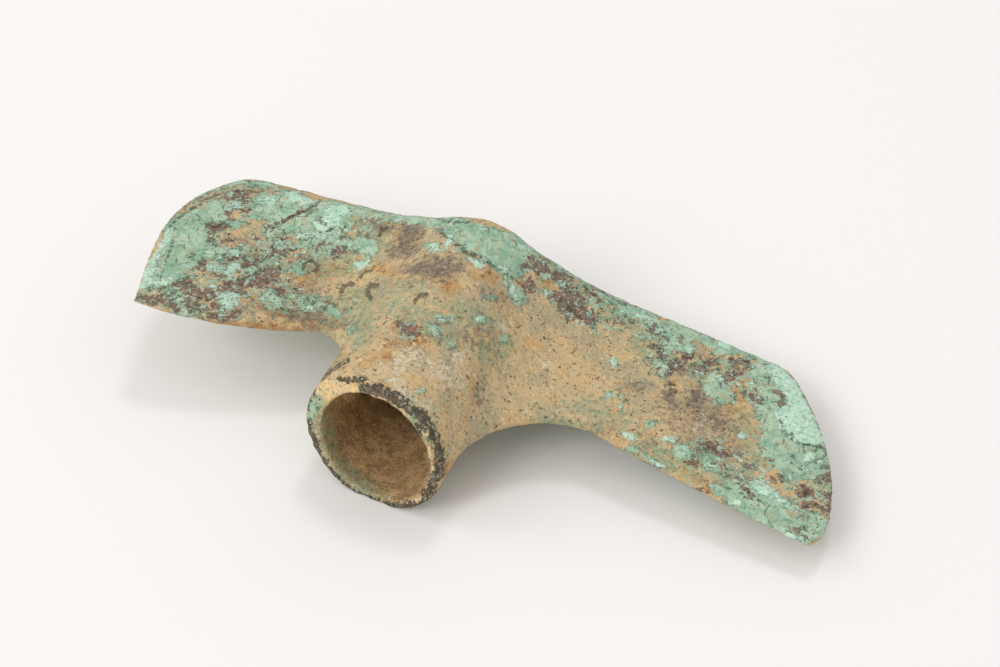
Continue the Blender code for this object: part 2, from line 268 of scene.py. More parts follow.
# The patina
# Centuries in the ground turned the skin to smooth green plates of malachite. Where they came away, brown
# earth and a dark red-brown crust of copper oxide lie open, with powdery pale green blooms on top.
green_marks = [
    field((160, 226), (185, 212), (213, 199), (227, 198), (224, 212), (232, 221), (246, 215), (252, 200),
          (264, 191), (285, 195), (300, 205), (322, 200), (348, 205), (354, 225), (342, 240), (322, 234),
          (300, 240), (292, 232), (280, 238), (268, 241), (262, 232), (266, 220), (250, 219), (240, 228),
          (224, 230), (214, 223), (206, 227), (208, 242), (222, 247), (236, 250), (240, 258), (226, 258),
          (205, 259), (199, 268), (194, 276), (180, 281), (166, 287), (150, 288), (146, 282), (160, 262),
          (171, 244), (166, 233)),
    field((346, 204), (380, 210), (404, 213), (440, 213), (470, 220), (500, 227), (540, 246), (546, 257),
          (535, 256), (527, 262), (531, 272), (520, 279), (506, 283), (500, 274), (490, 266), (478, 262),
          (480, 255), (460, 252), (455, 244), (448, 238), (440, 230), (420, 224), (400, 224), (370, 218),
          (346, 224)),
    field((506, 280), (518, 283), (525, 292), (532, 304), (520, 305), (511, 300), (507, 290)),
    field((350, 238), (378, 239), (381, 250), (370, 257), (352, 253)),
    streak(6, (545, 250), (560, 262), (590, 284), (620, 304), (655, 321), (700, 337), (742, 350),
           (775, 363)),
    field((640, 320), (668, 323), (690, 335), (693, 348), (684, 353), (672, 350), (664, 361), (656, 352),
          (664, 340), (650, 332)),
    field((652, 362), (668, 357), (673, 364), (664, 375), (655, 378), (650, 370)),
    field((699, 380), (716, 368), (722, 374), (729, 387), (737, 401), (728, 405), (715, 404), (706, 393)),
    field((710, 343), (722, 340), (738, 349), (730, 355), (716, 360), (711, 352)),
    field((745, 366), (762, 362), (776, 362), (800, 385), (812, 408), (828, 442), (832, 470), (824, 480),
          (800, 482), (785, 480), (775, 470), (765, 455), (758, 440), (764, 430), (756, 415), (752, 405),
          (758, 395), (748, 390), (750, 380)),
    field((722, 480), (745, 478), (758, 480), (778, 495), (798, 506), (815, 512), (832, 520), (826, 536),
          (806, 546), (788, 541), (765, 528), (740, 513), (724, 500)),
    streak(4, (628, 448), (645, 457), (657, 466)), spot(683, 452, 13, 8, 35), spot(712, 465, 16, 6, 42),
    spot(490, 297, 7, 3.5, 15), spot(480, 319, 6, 5), spot(505, 338, 4.5), spot(608, 395, 5, 4),
    spot(651, 424, 5.5), spot(603, 318, 5, 3.5), spot(621, 405, 2.5, 8), spot(625, 315, 12, 6, 20),
    spot(178, 298, 14, 8, 25), spot(187, 313, 11, 5), spot(272, 300, 12, 10), spot(305, 301, 12, 5),
    spot(333, 310, 10, 6, 40), spot(250, 275, 6, 10), spot(312, 242, 16, 7), spot(350, 332, 7, 3, -55),
    spot(434, 248, 9, 6), spot(450, 345, 5, 4), spot(435, 330, 6, 8), spot(720, 490, 12, 7, 30),
    spot(690, 338, 5, 4), spot(745, 345, 5, 3), spot(312, 405, 6, 9), spot(640, 338, 9, 4),
    spot(760, 378, 9, 6), spot(445, 318, 10, 4), spot(311, 414, 4, 9), spot(335, 243, 20, 8),
    streak(4, (150, 285), (158, 262), (172, 240)),
    streak(3.5, (196, 196), (216, 186), (244, 181), (272, 186), (300, 198)), spot(420, 392, 5, 3),
    spot(298, 268, 14, 8),
]
bloom_marks = [
    spot(234, 206, 9, 4.5, -15), spot(215, 267, 9, 3.5), spot(232, 268, 9, 5, -35), spot(228, 300, 11, 9),
    spot(234, 252, 5, 4), streak(3, (300, 238), (318, 235), (332, 241)), spot(281, 243, 6, 4),
    spot(434, 247, 6, 4), spot(452, 223, 4, 3), spot(361, 264, 9, 4, -30), spot(563, 285, 4, 3),
    spot(641, 316, 8, 4, 15), spot(614, 362, 4, 5), spot(629, 436, 9, 4, 30), spot(668, 438, 8, 4, 10),
    spot(743, 435, 5, 3.5), spot(811, 458, 6, 5), spot(822, 461, 3), spot(735, 503, 6, 4),
    spot(790, 536, 6, 3),
    field((764, 368), (780, 363), (797, 383), (808, 405), (818, 425), (829, 444), (818, 446), (800, 443),
          (788, 438), (780, 428), (774, 414), (790, 404), (783, 394), (775, 385), (770, 378)),
    spot(762, 488, 13, 8, 40), spot(160, 283, 12, 4, -10), spot(513, 291, 3.5, 8, -15),
    spot(338, 212, 14, 6), spot(478, 262, 10, 4, 25), spot(502, 270, 6, 4), spot(560, 265, 10, 3, 30),
    spot(655, 462, 8, 2.5, 35), spot(780, 500, 12, 4, 35), spot(725, 345, 8, 4, 20), spot(505, 338, 2.5),
    spot(480, 319, 3), streak(4, (155, 258), (147, 278), (143, 286)), streak(3.5, (170, 232), (154, 262)),
    spot(450, 240, 8, 4, -60), spot(330, 222, 16, 7, -20), spot(300, 200, 16, 5, 20),
    spot(268, 200, 8, 5), spot(520, 247, 10, 3, 20), spot(690, 348, 4, 5), spot(660, 330, 4, 3),
]
crust_marks = [
    field((224, 197), (240, 189), (254, 193), (247, 201), (241, 206), (248, 212), (244, 216), (236, 210),
          (230, 219), (223, 213), (227, 205), (232, 201)),
    spot(214, 228, 10, 3.5), streak(2, (208, 234), (207, 240), (216, 243), (226, 240)),
    field((172, 283), (190, 281), (203, 289), (212, 290), (222, 284), (236, 282), (250, 278), (262, 268),
          (272, 262), (281, 268), (277, 281), (266, 289), (250, 284), (243, 293), (225, 292), (213, 300),
          (200, 298), (186, 291)),
    spot(260, 257, 7, 3.5), spot(246, 264, 8, 4, -10), spot(204, 266, 3.5, 7), spot(233, 256, 7, 3.5),
    spot(282, 252, 10, 4, -10), spot(280, 243, 8, 3, -20),
    streak(3.5, (136, 296), (150, 300), (163, 298), (175, 308)),
    streak(2.5, (196, 302), (204, 309), (216, 306)), streak(2.5, (202, 316), (222, 317), (238, 312)),
    spot(152, 303, 5, 4), spot(188, 304, 4, 7, -30), spot(323, 244, 4), spot(338, 250, 7, 5),
    spot(281, 293, 7, 3.5), spot(224, 233, 5, 3), spot(321, 222, 4, 2, 40), spot(411, 330, 10, 6, 35),
    spot(402, 324, 6, 4),
    field((530, 257), (545, 261), (553, 270), (564, 274), (566, 281), (557, 282), (548, 275), (540, 275),
          (532, 271), (529, 263)),
    field((520, 281), (530, 276), (537, 284), (534, 293), (526, 292), (520, 286)),
    field((552, 290), (562, 286), (575, 288), (580, 296), (588, 304), (595, 316), (593, 327), (584, 323),
          (578, 317), (568, 321), (561, 312), (557, 302), (549, 298)),
    spot(590, 293, 5, 4), spot(524, 266, 3), spot(655, 329, 8, 4, 20),
    field((666, 369), (675, 358), (690, 351), (695, 356), (686, 362), (680, 371), (668, 375)),
    spot(700, 370, 9, 4, 10), spot(712, 362, 5, 3), spot(738, 361, 10, 3.5), spot(757, 400, 7, 5, 50),
    field((724, 376), (735, 367), (746, 371), (738, 377), (732, 384), (727, 381)), spot(806, 491, 9, 6),
    spot(828, 478, 6, 6), spot(812, 506, 13, 3.5), spot(829, 509, 6, 5), spot(798, 531, 7, 3),
    spot(692, 463, 7, 3.5), spot(707, 446, 6, 4), spot(722, 452, 8, 5), spot(748, 495, 8, 2.5, 50),
    spot(828, 495, 8, 3), spot(778, 392, 5, 3), spot(783, 402, 4, 5), spot(775, 478, 6, 4),
    spot(660, 350, 5, 3), spot(566, 276, 5, 4),
    streak(1.3, (268, 228), (281, 222), (300, 213), (318, 203)), streak(1.3, (321, 222), (331, 230)),
]
rust_marks = [
    spot(449, 287, 9, 11), spot(380, 268, 10, 5, 10), spot(389, 272, 7, 6), spot(411, 332, 20, 14, 20),
    streak(4, (425, 340), (405, 345), (386, 346)), spot(385, 357, 16, 4, -8),
    streak(5, (212, 326), (250, 326), (290, 331), (322, 341), (338, 352)), spot(256, 302, 10, 6, 20),
    spot(443, 468, 9, 11, -50),
    field((316, 386), (330, 380), (358, 382), (356, 400), (340, 399), (330, 403), (316, 402)),
    spot(488, 276, 15, 6, 15), spot(330, 270, 18, 7), spot(300, 277, 16, 4), spot(365, 220, 14, 5, -15),
    spot(270, 197, 10, 5), spot(715, 352, 8, 5), spot(735, 410, 16, 5, 40), spot(546, 284, 7, 6),
    spot(668, 331, 5, 3), spot(300, 318, 34, 4, 12), spot(700, 480, 20, 4, 25), spot(690, 352, 5, 3),
    spot(740, 393, 6, 12, -25),
]
pale_marks = [
    field((383, 366), (398, 352), (420, 347), (426, 356), (412, 366), (404, 384), (420, 398), (408, 402),
          (392, 388)),
    spot(409, 352, 9, 6, -30), spot(455, 357, 14, 8, 20), spot(425, 410, 6, 16, -35),
    spot(498, 325, 10, 6), spot(548, 365, 5, 4), spot(325, 393, 8, 6), spot(442, 372, 24, 12, 25),
    # The streak along the lower inner edge of the lip is pale sand and also painted light on the socket's
    # lower wall.
    streak(2.5, (346, 484), (362, 494), (380, 500), (398, 504), (416, 501)), spot(560, 300, 5, 7),
    streak(3, (178, 220), (200, 198), (222, 188), (250, 184), (280, 190)), spot(700, 430, 12, 6, 30),
]
dusk_marks = [
    spot(404, 250, 16, 10),
    field((410, 264), (438, 254), (461, 262), (463, 272), (448, 281), (425, 277), (408, 272)),
    spot(480, 392, 14, 5, -70), spot(637, 386, 18, 5), spot(409, 234, 17, 12, -60),
    spot(432, 267, 30, 11, -8), spot(384, 228, 16, 8, 10), spot(500, 296, 18, 5, 20),
    spot(470, 340, 22, 6, 20),
    field((658, 396), (700, 384), (720, 400), (735, 420), (745, 440), (740, 456), (716, 457), (690, 440),
          (672, 430), (660, 412)),
    spot(300, 256, 36, 5), spot(305, 290, 34, 6, 5), spot(272, 244, 14, 7), spot(245, 245, 13, 6),
    streak(2, (163, 226), (185, 205), (205, 191), (222, 184), (245, 181), (270, 184), (290, 190),
           (306, 198)),
    streak(3, (206, 320), (236, 317)), spot(300, 314, 44, 6, 8), spot(220, 310, 24, 6),
    spot(436, 333, 9, 9), spot(600, 430, 14, 6, 10), spot(650, 442, 5, 6), spot(686, 372, 16, 7),
    spot(430, 470, 4, 12),
]
ochre_marks = [
    field((315, 388), (326, 380), (346, 378), (360, 384), (356, 398), (340, 398), (328, 404), (316, 402)),
    streak(2, (322, 402), (336, 397), (352, 397)), streak(2, (427, 452), (432, 470), (428, 484)),
]
moss_marks = [
    streak(9, (322, 424), (331, 452), (348, 476), (374, 492)), spot(318, 408, 9, 12),
    spot(300, 306, 34, 9, 12), spot(326, 322, 14, 8, 40), spot(250, 312, 16, 6), spot(345, 262, 20, 10),
    spot(350, 300, 14, 18, 30), spot(372, 240, 20, 22), spot(330, 268, 26, 8, 10), spot(358, 304, 18, 20),
    spot(470, 312, 30, 12, 20), spot(600, 412, 40, 9, 18), spot(575, 425, 36, 6, 8),
    spot(666, 456, 40, 12, 30), spot(720, 470, 34, 14, 35), spot(755, 440, 14, 34, -30),
    spot(776, 512, 36, 14, 28), spot(652, 345, 26, 16, 20), spot(702, 372, 22, 14, 10),
    spot(620, 316, 50, 8, 28), spot(240, 262, 30, 16, -10), spot(180, 300, 34, 10, 15),
    spot(446, 330, 22, 14, 10), streak(6, (166, 222), (190, 204), (224, 188), (270, 188)),
    spot(420, 420, 10, 26, -35), spot(334, 356, 8, 14, 40), spot(392, 306, 26, 12, 25),
    spot(430, 316, 22, 8, 10), spot(360, 326, 14, 18, 30), spot(414, 288, 16, 7),
    spot(486, 352, 16, 10, 30), spot(560, 275, 26, 10, 35), spot(500, 346, 20, 10),
]
soot_marks = [
    spot(409, 236, 17, 12, -60), spot(400, 250, 14, 8), spot(434, 268, 26, 10, -8), spot(416, 214, 9, 6),
    spot(670, 392, 6, 10), spot(696, 398, 7, 9), spot(310, 318, 26, 4, 12), spot(384, 226, 9, 5),
    spot(700, 450, 18, 7, 25), spot(480, 330, 7, 4), spot(716, 420, 6, 8, -20),
]
scab_and_shade_marks = [
    streak(6, (364, 388), (382, 391), (402, 402), (418, 414)),
    streak(5, (420, 412), (432, 428), (438, 446)),
    streak(5, (439, 450), (440, 470), (433, 486), (424, 499)),
    streak(4.2, (309, 424), (315, 447), (326, 468), (345, 488), (367, 502), (394, 508), (420, 506)),
    streak(2.5, (306, 408), (307, 396), (312, 388)), streak(2, (340, 379), (364, 380)),
    # The thin streak on the upper left of the socket, behind the lip, is painted shade in the crust's
    # colours.
    streak(1.8, (324, 376), (334, 368), (348, 360)), spot(420, 428, 7, 4, 60),
]
mosaic_marks = [
    field((192, 260), (232, 246), (258, 234), (300, 236), (346, 236), (350, 258), (290, 259), (284, 284),
          (262, 294), (244, 298), (240, 318), (200, 319), (168, 310), (136, 303), (134, 291), (160, 289),
          (176, 281), (198, 276)),
    spot(238, 202, 17, 15), spot(218, 234, 14, 12), spot(292, 300, 44, 12, 8),
    field((776, 468), (834, 462), (834, 522), (815, 528), (798, 512), (786, 500)),
    field((740, 352), (776, 362), (770, 384), (756, 410), (744, 396), (722, 388), (716, 364)),
    field((640, 322), (664, 324), (700, 352), (712, 368), (700, 380), (680, 372), (660, 380), (644, 366),
          (650, 340)),
    field((680, 440), (720, 436), (744, 452), (772, 470), (752, 486), (722, 474), (694, 468)),
    field((528, 254), (566, 268), (600, 296), (598, 330), (574, 324), (548, 300), (528, 292), (516, 280)),
    field((590, 286), (640, 310), (650, 322), (620, 330), (596, 322)), spot(800, 532, 22, 8),
    spot(412, 330, 14, 10), spot(352, 232, 20, 18), spot(450, 232, 10, 8),
]
# Scratches, cracks and the crescent dents are too fine for the full wander.
marks_at = seen_at + LINE_WANDER * wander
groove_marks = [
    streak(0.7, (270, 231), (276, 227), (290, 218), (304, 211), (318, 204)),
    streak(0.8, (320, 221), (332, 230)),
    streak(0.5, (170, 226), (186, 212), (206, 199), (222, 192), (246, 190), (262, 192)),
    streak(0.4, (174, 240), (166, 262), (160, 280)), streak(0.6, (160, 289), (180, 281), (198, 276)),
    streak(1.4, (304, 270), (304, 264), (308, 261), (313, 261), (318, 264), (318, 269), (314, 271)),
    streak(1.7, (341, 291), (343, 286), (348, 283), (353, 283)),
    streak(1.7, (370, 297), (367, 293), (367, 288), (371, 284), (377, 285)),
    streak(1.0, (360, 278), (362, 273), (367, 270), (371, 270)),
    streak(1.1, (379, 235), (381, 230), (386, 227)),
    streak(1.6, (415, 302), (417, 297), (421, 294), (427, 294)),
    streak(0.6, (640, 462), (668, 478), (690, 488), (712, 494)),
    streak(0.7, (664, 388), (668, 383), (676, 386), (676, 392), (668, 394)),
    streak(0.7, (748, 492), (760, 502)), streak(0.5, (780, 420), (788, 436), (800, 444), (818, 446)),
    streak(0.7, (440, 232), (456, 243), (470, 254), (490, 266)),
    streak(0.6, (462, 251), (480, 256), (500, 270), (520, 283)),
    streak(0.6, (206, 225), (216, 226), (232, 219), (244, 222)),
    streak(0.7, (814, 452), (820, 446), (826, 450), (824, 458), (816, 460)),
    streak(0.6, (430, 214), (450, 222), (470, 222)), spot(808, 491, 4, 3), spot(792, 434, 1.5, 2),
    streak(0.6, (224, 283), (236, 281), (252, 276), (262, 268)),
    streak(0.5, (172, 300), (186, 292), (204, 299), (222, 300)),
    streak(0.5, (560, 262), (590, 284), (620, 303)),
]


# In millimetres, the second for each metre of patch, so that free noise is as deep as drawn marks are.
DEEPEST_MARK = 4.0
FREE_DEPTH = 400.0


def lie_of(marks, size, seed, cover):
    """Depth inside the nearest mark in millimetres where the view sees, and noise in keeping elsewhere."""
    drawn = np.maximum.reduce(marks) * PIXEL_AT_MOUTH * 1000
    free = (noise_on(points, size, seed, 3) - cover) * size * FREE_DEPTH
    return (open_to_eye * drawn + (1 - open_to_eye) * free).clip(-DEEPEST_MARK, DEEPEST_MARK)


# Where the view doesn't see, each lies in patches of this size in metres, laid by this seed, and the
# larger the last number is, the barer the skin.
green = lie_of(green_marks, 0.014, 11, 0.05)
bloom = lie_of(bloom_marks, 0.006, 12, 0.45)
crust = lie_of(crust_marks, 0.007, 13, 0.42)
rust = lie_of(rust_marks, 0.010, 14, 0.35)
pale = lie_of(pale_marks, 0.012, 15, 0.45)
dusk = lie_of(dusk_marks, 0.009, 16, 0.30)
ochre = lie_of(ochre_marks, 0.008, 27, 0.55)
soot = lie_of(soot_marks, 0.009, 28, 0.45)
scab_and_shade = lie_of(scab_and_shade_marks, 0.006, 20, 0.60)
mosaic = lie_of(mosaic_marks, 0.012, 17, 0.12)
moss = lie_of(moss_marks, 0.010, 18, 0.10)
groove = lie_of(groove_marks, 0.004, 19, 0.62)

# The socket
# The socket was cast round a clay core, so its wall is plain and even. Brown earth still coats it, with
# no plates, and the lip of its mouth is the most worn and crusted part of the head.
SOCKET_LEAN = math.radians(5.3)
BORE_RADIUS = 0.0139
BORE_MIDDLE_ACROSS = 0.0005
BORE_MIDDLE_DOWN = 0.0012
BORE_LENGTH = 0.056
LIP_DEPTH = 0.004
WALL_SLACK = 0.0008
WALL_FACING = 0.25
ALL_WALL_FROM = 0.03
WALL_SOFTENING = 3
across_head = np.array([math.cos(SOCKET_LEAN), 0.0, -math.sin(SOCKET_LEAN)])
up_head = np.array([math.sin(SOCKET_LEAN), 0.0, math.cos(SOCKET_LEAN)])
from_mouth = points - np.array(MOUTH_CENTRE)
across_axis = from_mouth @ across_head - BORE_MIDDLE_ACROSS
above_axis = from_mouth @ up_head + BORE_MIDDLE_DOWN
from_axis = np.hypot(across_axis, above_axis)
inward_facing = -((outward @ across_head) * across_axis + (outward @ up_head) * above_axis)
inward_facing /= np.maximum(from_axis, 1e-6)
depth_in = from_mouth[:, 1]
in_wall = (from_axis < BORE_RADIUS + WALL_SLACK) & (depth_in > -LIP_DEPTH) & (depth_in < BORE_LENGTH)
in_wall &= (inward_facing > WALL_FACING) | (depth_in > ALL_WALL_FROM)
bore = in_wall.astype(float)
for _ in range(WALL_SOFTENING):
    bore = 0.5 * bore + 0.5 * neighbour_mean(bore)
layers = {"green": green, "bloom": bloom, "crust": crust, "rust": rust, "pale": pale, "dusk": dusk,
          "soot": soot, "ochre": ochre, "scab_and_shade": scab_and_shade, "moss": moss, "mosaic": mosaic, "groove": groove}
for depth in layers.values():
    depth -= DEEPEST_MARK * bore * (1 - open_to_eye)

# Relief
# The ground ate the skin unevenly: it swells and dips, is pitted where the earth coats it, and stands a
# little proud where the green plates are still whole.
SWELL = 0.00030
SWELL_SIZE = 0.016
LUMPS = 0.00017
LUMP_SIZE = 0.0045
RAG_SIZE = 0.0018
GRAIN = 0.00007
GRAIN_SIZE = 0.0013
PLATE_RISE = 0.00016
CRUST_DIP = 0.00012
CRUST_GRAIN = 0.0012
PIT_DEPTH = 0.00022
PIT_SIZE = 0.0021
PIT_FROM = 0.25
PIT_SPAN = 0.35
BLOOM_RISE = 0.00009
GROOVE_DEPTH = 0.00025
SKIN_SUNK = 0.00008
CALM_ROUNDS = 8
CALM_FROM = 0.55
CALM_SPAN = 0.35
LEAST_CALM = 0.15


def rise(values, half=0.5):
    """0 outside a mark and 1 inside it, over a slope of the given half width in millimetres."""
    t = ((values + half) / (2 * half)).clip(0, 1)
    return t * t * (3 - 2 * t)


pits = ((noise_on(points, PIT_SIZE, 21, 2) - PIT_FROM) / PIT_SPAN).clip(0, 1)
plates = rise(green)
crusted = rise(crust, 0.35)
height = SWELL * noise_on(points, SWELL_SIZE, 22) + LUMPS * noise_on(points, LUMP_SIZE, 23, 2)
height += GRAIN * noise_on(points, GRAIN_SIZE, 24)
height += PLATE_RISE * plates - PIT_DEPTH * pits * (1 - 0.8 * plates)
height -= CRUST_DIP * crusted * (1 + noise_on(points, CRUST_GRAIN, 25))
height += BLOOM_RISE * rise(bloom, 0.35)
height -= GROOVE_DEPTH * rise(groove, 0.35)
height += 0.5 * LUMPS * rise(mosaic, 0.5) * noise_on(points, RAG_SIZE, 26, 2)

# Where the skin bends sharply, at the cutting edges and the lip, it is worn and takes less relief.
calm = outward
for _ in range(CALM_ROUNDS):
    calm = neighbour_mean(calm)
calm = ((np.linalg.norm(calm, axis=1) - CALM_FROM) / CALM_SPAN).clip(LEAST_CALM, 1)
height *= (1 - 0.6 * bore) * calm
points = points + outward * (height - SKIN_SUNK)[:, None]
lowest = np.array(cad_box[0])
highest = np.array(cad_box[1])
points = points.clip(lowest, highest)
set_corners(skin, points)


def keep_on_skin(name, values):
    """Hand a mark to the skin, so that its finish can read it."""
    layer = skin.attributes.new(name, "FLOAT", "POINT")
    layer.data.foreach_set("value", values.astype(np.float32))


for name, values in (*layers.items(), ("bore", bore)):
    keep_on_skin(name, values)

# The finish
# Bronze under its patina: matt earth, smooth malachite, dark oxide crust and powdery blooms, each with its
# own colour, grain and roughness. The marks on the skin say where each lies and fine noise frays them.
FINE_RELIEF = 0.00032
PATINA_SHINE = 0.35

patina = bpy.data.materials.new("patina")
patina.use_nodes = True
nodes = patina.node_tree.nodes
links = patina.node_tree.links
nodes.clear()
place = nodes.new("ShaderNodeTexCoord")


def colour(red, green, blue):
    """A colour as the eye reads it, 0 to 255, turned into light."""
    made = []
    for part in (red, green, blue):
        part /= 255
        made.append(part / 12.92 if part < 0.04045 else ((part + 0.055) / 1.055) ** 2.4)
    return (*made, 1.0)


def shifted(shift):
    """The place on the head, moved, so that no two patterns are alike."""
    moved = nodes.new("ShaderNodeMapping")
    moved.inputs["Location"].default_value = (shift, shift * 0.7, shift * 0.3)
    links.new(place.outputs["Object"], moved.inputs["Vector"])
    return moved.outputs[0]


def grain(size, detail=2.0, harshness=0.55, shift=0.0):
    """Noise with features of a given size in millimetres."""
    made = nodes.new("ShaderNodeTexNoise")
    made.inputs["Scale"].default_value = 1000 / size
    made.inputs["Detail"].default_value = detail
    made.inputs["Roughness"].default_value = harshness
    links.new(shifted(shift), made.inputs["Vector"])
    return made.outputs["Fac"]


def chips(size, wander, shift=0.0, feature="F1"):
    """Ragged chips of a given size in millimetres, their outlines bent by noise."""
    bend = nodes.new("ShaderNodeTexNoise")
    bend.inputs["Scale"].default_value = 1400 / size
    bend.inputs["Detail"].default_value = 3.0
    links.new(shifted(shift), bend.inputs["Vector"])
    bent = nodes.new("ShaderNodeVectorMath")
    bent.operation = "MULTIPLY_ADD"
    links.new(bend.outputs["Color"], bent.inputs[0])
    bent.inputs[1].default_value = (wander / 1000,) * 3
    links.new(shifted(shift), bent.inputs[2])
    made = nodes.new("ShaderNodeTexVoronoi")
    made.feature = feature
    made.inputs["Scale"].default_value = 1000 / size
    links.new(bent.outputs[0], made.inputs["Vector"])
    return made


def worked(kind, first, second):
    """Two values joined by one sum."""
    made = nodes.new("ShaderNodeMath")
    made.operation = kind
    for i, value in enumerate((first, second)):
        if isinstance(value, (int, float)):
            made.inputs[i].default_value = value
        else:
            links.new(value, made.inputs[i])
    return made.outputs[0]


def times(first, second):
    return worked("MULTIPLY", first, second)


def plus(first, second):
    return worked("ADD", first, second)


def between(value, low, high, out_low=0.0, out_high=1.0):
    """A value eased from one level to another as it passes from low to high."""
    made = nodes.new("ShaderNodeMapRange")
    made.interpolation_type = "SMOOTHSTEP"
    links.new(value, made.inputs["Value"])
    made.inputs["From Min"].default_value = low
    made.inputs["From Max"].default_value = high
    made.inputs["To Min"].default_value = out_low
    made.inputs["To Max"].default_value = out_high
    return made.outputs["Result"]


def mark(name):
    made = nodes.new("ShaderNodeAttribute")
    made.attribute_type = "GEOMETRY"
    made.attribute_name = name
    return made.outputs["Fac"]


def laid_on(under, over, where):
    """One colour over another."""
    made = nodes.new("ShaderNodeMix")
    made.data_type = "RGBA"
    for socket, value in ((made.inputs[6], under), (made.inputs[7], over), (made.inputs[0], where)):
        if isinstance(value, (tuple, int, float)):
            socket.default_value = value
        else:
            links.new(value, socket)
    return made.outputs[2]


def dappled(under, over, pattern, low, high, most=1.0):
    """A colour with another over it in patches, where a pattern passes from low to high."""
    return laid_on(under, over, between(pattern, low, high, 0, most))


def broken(where, pattern, low, high, least=0.0, most=1.0):
    """A mark thinned out by a pattern, so that what lies under it shows through."""
    return times(where, between(pattern, low, high, least, most))


def frayed(name, fray, soft, size=0.9, shift=0.0):
    """Where a mark lies, its outline frayed by coarse and fine noise, in millimetres."""
    coarse = times(plus(grain(size, 3.0, 0.55, shift), -0.5), fray * 5)
    fine = times(plus(grain(size * 0.35, 1.0, 0.5, shift + 0.5), -0.5), fray)
    return between(plus(mark(name), plus(coarse, fine)), -soft, soft)


# Earth: tan, grey and olive, with dark pits and green and pale specks.
TAN = colour(214, 187, 141)
GREY_TAN = colour(184, 170, 136)
WARM_TAN = colour(218, 178, 122)
OLIVE = colour(160, 168, 138)
SAND = colour(236, 220, 186)
BROWN_SPECK = colour(140, 116, 84)
PIT_BROWN = colour(88, 76, 58)
GREEN_SPECK = colour(132, 178, 150)
earth = dappled(TAN, GREY_TAN, grain(8, 3, 0.6, 0.1), 0.42, 0.64)
earth = dappled(earth, WARM_TAN, grain(5, 3, 0.6, 0.2), 0.50, 0.68, 0.8)
earth = dappled(earth, OLIVE, grain(3.0, 4, 0.7, 0.3), 0.56, 0.70, 0.7)
earth = dappled(earth, SAND, grain(0.9, 4, 0.75, 0.4), 0.55, 0.66, 0.85)
earth = dappled(earth, BROWN_SPECK, grain(0.8, 4, 0.75, 0.5), 0.55, 0.64, 0.8)
dot_here = times(between(grain(1.1, 4, 0.75, 0.6), 0.60, 0.66), between(grain(5, 2, 0.5, 0.7), 0.36, 0.52))
earth = laid_on(earth, PIT_BROWN, times(dot_here, 0.9))
flecks = chips(2.6, 1.4, 0.8)
fleck_here = between(flecks.outputs["Distance"], 0.08, 0.20, 1, 0)
fleck_here = broken(fleck_here, grain(5, 2, 0.5, 0.9), 0.46, 0.6)
earth = laid_on(earth, GREEN_SPECK, times(fleck_here, 0.7))

# Rust, pale sand and bright ochre lie in the earth, which is browner inside the socket. The pale sand
# along the lower inner edge of the lip is also painted light, falling on the socket's lower wall.
SOCKET_TAN = colour(200, 166, 118)
SOCKET_BROWN = colour(164, 132, 90)
SOCKET_SAND = colour(220, 196, 152)
SOCKET_PIT = colour(112, 82, 50)
RUST_ORANGE = colour(204, 156, 94)
RUST_BROWN = colour(160, 106, 62)
PALE_SAND_AND_LIGHT = colour(230, 216, 188)
PALE_SAND_PIT = colour(118, 104, 84)
OCHRE = colour(250, 216, 150)
OCHRE_SAND = colour(226, 208, 176)
OCHRE_PIT = colour(150, 130, 100)
inside = dappled(SOCKET_TAN, SOCKET_BROWN, grain(3.5, 4, 0.65, 2.7), 0.38, 0.62)
inside = dappled(inside, SOCKET_SAND, grain(0.9, 3, 0.65, 2.8), 0.56, 0.70, 0.7)
inside = dappled(inside, SOCKET_PIT, grain(0.7, 3, 0.65, 2.9), 0.56, 0.68, 0.7)
skin_colour = laid_on(earth, inside, between(mark("bore"), 0.35, 0.75))
rust_here = broken(frayed("rust", 1.3, 0.9, 1.8, 1.0), grain(0.8, 3, 0.7, 1.05), 0.34, 0.56, 0.35, 0.85)
rusty = dappled(RUST_ORANGE, RUST_BROWN, grain(1.6, 3, 0.65, 1.07), 0.42, 0.6)
skin_colour = laid_on(skin_colour, rusty, rust_here)
pale_here = broken(frayed("pale", 1.5, 0.9, 1.2, 1.1), grain(1.1, 4, 0.8, 1.15), 0.45, 0.55, 0.0, 0.95)
sand_and_light = dappled(PALE_SAND_AND_LIGHT, PALE_SAND_PIT, grain(0.8, 4, 0.8, 1.16), 0.56, 0.62, 0.9)
skin_colour = laid_on(skin_colour, sand_and_light, pale_here)
ochre_here = broken(frayed("ochre", 0.9, 0.4, 1.2, 1.17), grain(0.9, 4, 0.75, 1.18), 0.36, 0.50, 0.3, 0.95)
bright_earth = dappled(OCHRE, OCHRE_SAND, grain(1.6, 3, 0.6, 1.19), 0.45, 0.58)
bright_earth = dappled(bright_earth, OCHRE_PIT, grain(0.9, 4, 0.75, 1.21), 0.57, 0.65, 0.85)
skin_colour = laid_on(skin_colour, bright_earth, ochre_here)

# Moss green tints the earth beside the plates, and dusky stains and soot lie over both, all soft.
MOSS = colour(158, 172, 138)
MOSS_DARK = colour(116, 130, 100)
MOSS_BRIGHT = colour(150, 194, 160)
DUSK = colour(142, 128, 110)
DUSK_DARK = colour(94, 84, 76)
SOOT = colour(124, 116, 104)
SOOT_DARK = colour(90, 82, 76)
mossy = dappled(MOSS, MOSS_DARK, grain(1.1, 4, 0.75, 1.26), 0.46, 0.60)
mossy = dappled(mossy, MOSS_BRIGHT, grain(1.6, 4, 0.7, 1.27), 0.54, 0.62, 0.9)
moss_here = broken(frayed("moss", 1.6, 1.0, 2.2, 1.28), grain(1.4, 5, 0.75, 1.29), 0.38, 0.60, 0.15, 0.85)
skin_colour = laid_on(skin_colour, mossy, moss_here)
dusky = dappled(DUSK, DUSK_DARK, grain(0.9, 4, 0.75, 1.25), 0.48, 0.60)
